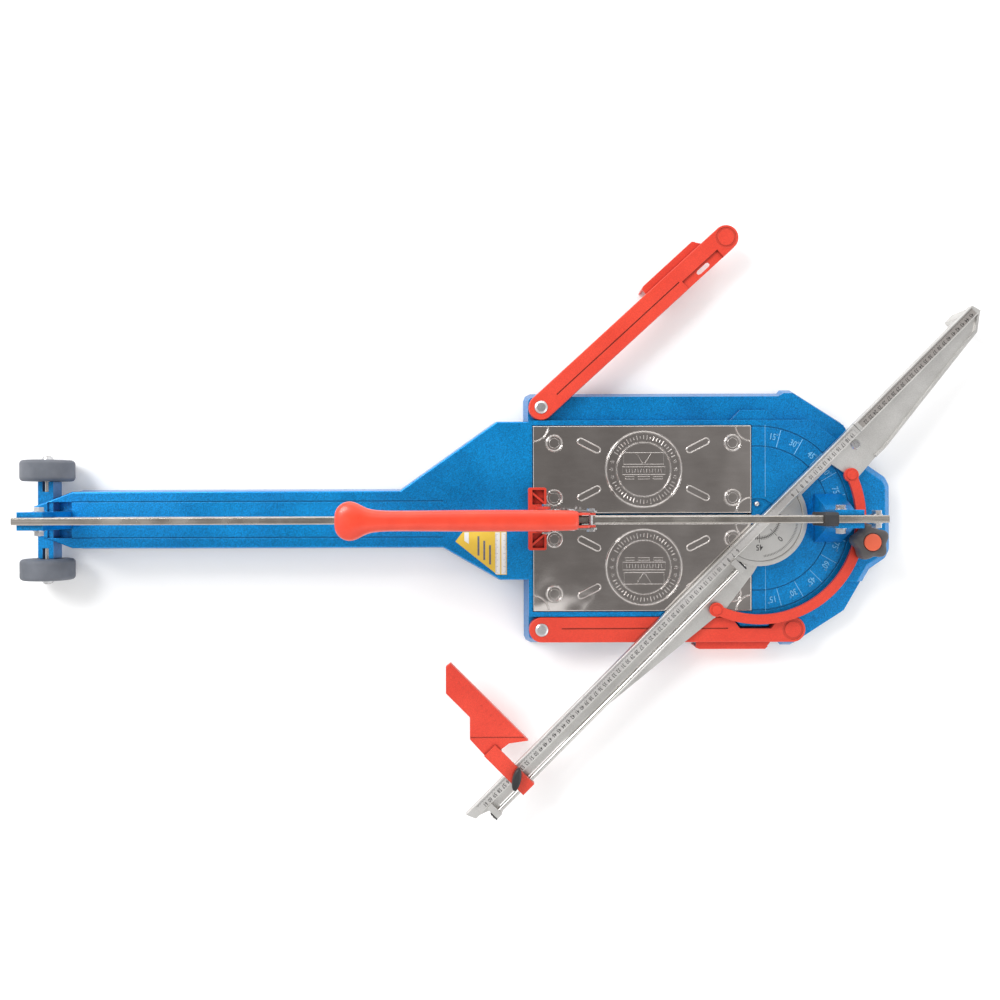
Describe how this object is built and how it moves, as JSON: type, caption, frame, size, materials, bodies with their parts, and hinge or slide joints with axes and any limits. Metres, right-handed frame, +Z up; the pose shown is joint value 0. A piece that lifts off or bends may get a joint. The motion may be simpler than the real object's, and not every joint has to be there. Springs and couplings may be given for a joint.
{
  "type": "tile cutter",
  "caption": "Manual rail tile cutter with a blue cast bed, sprung steel plates, swinging angle fence, folding side arms, sliding stop, scoring carriage and transport wheels.",
  "frame": {"origin": "middle of the machine's bounding box, on the floor", "axes": "+X along the rail from the wheels to the head, +Y to the left, +Z up"},
  "size_m": [1.4888, 0.9179, 0.2035],
  "materials": {
    "casting_blue": "satin",
    "casting_red": "satin",
    "fence_aluminium": "satin",
    "plate_steel": "satin",
    "plated_steel": "satin",
    "rail_steel": "satin",
    "zinc_bolts": "satin",
    "black_steel": "satin",
    "carbide": "satin",
    "rubber_black": "matte",
    "wheel_tyre": "matte",
    "wheel_hub": "matte",
    "handle_grip": "matte",
    "knob_grey": "satin",
    "knob_cap": "gloss",
    "label_print": "gloss"
  },
  "bodies": {
    "base": {"base_casting": "casting_blue", "rubber_foot_1": "rubber_black", "rubber_foot_2": "rubber_black", "rubber_foot_3": "rubber_black", "rubber_foot_4": "rubber_black", "breaker_bar": "plated_steel", "rail": "rail_steel", "rail_bumper": "rubber_black", "rail_bolts": "zinc_bolts", "rail_nuts": "zinc_bolts", "rail_washers": "zinc_bolts", "wheel_axle": "plated_steel", "axle_caps": "zinc_bolts", "arm_rivets": "zinc_bolts", "clamp_stud": "zinc_bolts", "neck_label": "label_print", "plate_left_springs": "rubber_black", "plate_right_springs": "rubber_black"},
    "wheel_left": {"wheel_left_tyre": "wheel_tyre", "wheel_left_hub": "wheel_hub"},
    "wheel_right": {"wheel_right_tyre": "wheel_tyre", "wheel_right_hub": "wheel_hub"},
    "sprung_plate_left": {"plate_left": "plate_steel"},
    "sprung_plate_right": {"plate_right": "plate_steel"},
    "arm_left": {"side_arm_left": "casting_red"},
    "arm_right": {"side_arm_right": "casting_red"},
    "angle_fence": {"fence": "fence_aluminium", "fence_pivot_screw": "zinc_bolts", "fence_extension": "fence_aluminium", "extension_rivet": "zinc_bolts", "guide_rod": "plated_steel", "rod_clip_near": "black_steel", "rod_clip_far": "black_steel", "goniometer_arc": "casting_red", "goniometer_pins": "casting_red"},
    "square_stop": {"sliding_stop": "casting_red"},
    "stop_screw": {"stop_knob": "knob_grey"},
    "clamp": {"clamp_knob": "knob_grey", "clamp_knob_cap": "knob_cap"},
    "carriage": {"carriage_plate_left": "plated_steel", "carriage_plate_right": "plated_steel", "roller_axles": "zinc_bolts", "carriage_spacer": "black_steel", "wheel_holder": "black_steel", "scoring_wheel_pin": "plated_steel", "handle_pin": "zinc_bolts", "foot_bolt": "zinc_bolts"},
    "lever": {"handle": "handle_grip"},
    "presser": {"breaker_foot": "casting_red"},
    "cutter": {"scoring_wheel": "carbide"},
    "roller_a": {"roller_rear_top": "plated_steel"},
    "roller_b": {"roller_front_top": "plated_steel"},
    "roller_c": {"roller_rear_low": "plated_steel"},
    "roller_d": {"roller_front_low": "plated_steel"}
  },
  "joints": [
    {"name": "wheel_left_spin", "type": "hinge", "parent": "base", "child": "wheel_left", "pos_m": [-0.70441, 0.08049, 0.04], "axis": [0, 1, 0], "continuous": true},
    {"name": "wheel_right_spin", "type": "hinge", "parent": "base", "child": "wheel_right", "pos_m": [-0.70441, -0.07351, 0.04], "axis": [0, 1, 0], "continuous": true},
    {"name": "plate_left_give", "type": "slide", "parent": "base", "child": "sprung_plate_left", "axis": [0, 0, 1], "range_m": [-0.004, 0], "stiffness_N_per_m": 5000, "springref_m": 0.01, "deforming": ["plate_left_springs"]},
    {"name": "plate_right_give", "type": "slide", "parent": "base", "child": "sprung_plate_right", "axis": [0, 0, 1], "range_m": [-0.004, 0], "stiffness_N_per_m": 5000, "springref_m": 0.01, "deforming": ["plate_right_springs"]},
    {"name": "arm_left_swing", "type": "hinge", "parent": "base", "child": "arm_left", "pos_m": [0.06759, 0.17649, 0.043], "axis": [0, 0, 1], "range_deg": [-42.4, 47.6]},
    {"name": "arm_right_swing", "type": "hinge", "parent": "base", "child": "arm_right", "pos_m": [0.06759, -0.16951, 0.043], "axis": [0, 0, -1], "range_deg": [0, 90]},
    {"name": "fence_swing", "type": "hinge", "parent": "base", "child": "angle_fence", "pos_m": [0.40359, 0.00348, 0.06], "axis": [0, 0, 1], "range_deg": [0, 45]},
    {"name": "stop_slide", "type": "slide", "parent": "angle_fence", "child": "square_stop", "axis": [0.7071, 0.7071, 0], "range_m": [-0.03, 0.24]},
    {"name": "stop_screw_turn", "type": "hinge", "parent": "square_stop", "child": "stop_screw", "pos_m": [0.02741, -0.39249, 0.075], "axis": [0, 0, 1], "range_deg": [-90, 90]},
    {"name": "clamp_turn", "type": "hinge", "parent": "base", "child": "clamp", "pos_m": [0.56656, -0.03294, 0.08], "axis": [0, 0, 1], "range_deg": [0, 180]},
    {"name": "carriage_slide", "type": "slide", "parent": "base", "child": "carriage", "axis": [1, 0, 0], "range_m": [-0.7, 0.27]},
    {"name": "handle_lift", "type": "hinge", "parent": "carriage", "child": "lever", "pos_m": [0.13359, 0.00348, 0.165], "axis": [0, 1, 0], "range_deg": [0, 65]},
    {"name": "presser_tilt", "type": "hinge", "parent": "carriage", "child": "presser", "pos_m": [0.07259, 0.00348, 0.088], "axis": [0, 1, 0], "range_deg": [0, 8]},
    {"name": "cutter_spin", "type": "hinge", "parent": "carriage", "child": "cutter", "pos_m": [0.11359, 0.00348, 0.0645], "axis": [0, 1, 0], "continuous": true},
    {"name": "roller_a_roll", "type": "hinge", "parent": "carriage", "child": "roller_a", "pos_m": [0.07359, 0.00348, 0.1643], "axis": [0, 1, 0], "continuous": true},
    {"name": "roller_b_roll", "type": "hinge", "parent": "carriage", "child": "roller_b", "pos_m": [0.10659, 0.00348, 0.1643], "axis": [0, 1, 0], "continuous": true},
    {"name": "roller_c_roll", "type": "hinge", "parent": "carriage", "child": "roller_c", "pos_m": [0.08859, 0.00348, 0.0957], "axis": [0, 1, 0], "continuous": true},
    {"name": "roller_d_roll", "type": "hinge", "parent": "carriage", "child": "roller_d", "pos_m": [0.10959, 0.00348, 0.0957], "axis": [0, 1, 0], "continuous": true}
  ],
  "couplings": [
    {"joint": "roller_a_roll", "follows": "carriage_slide", "rad_per_m": 111.11},
    {"joint": "roller_b_roll", "follows": "carriage_slide", "rad_per_m": 111.11},
    {"joint": "roller_c_roll", "follows": "carriage_slide", "rad_per_m": -111.11},
    {"joint": "roller_d_roll", "follows": "carriage_slide", "rad_per_m": -111.11}
  ]
}
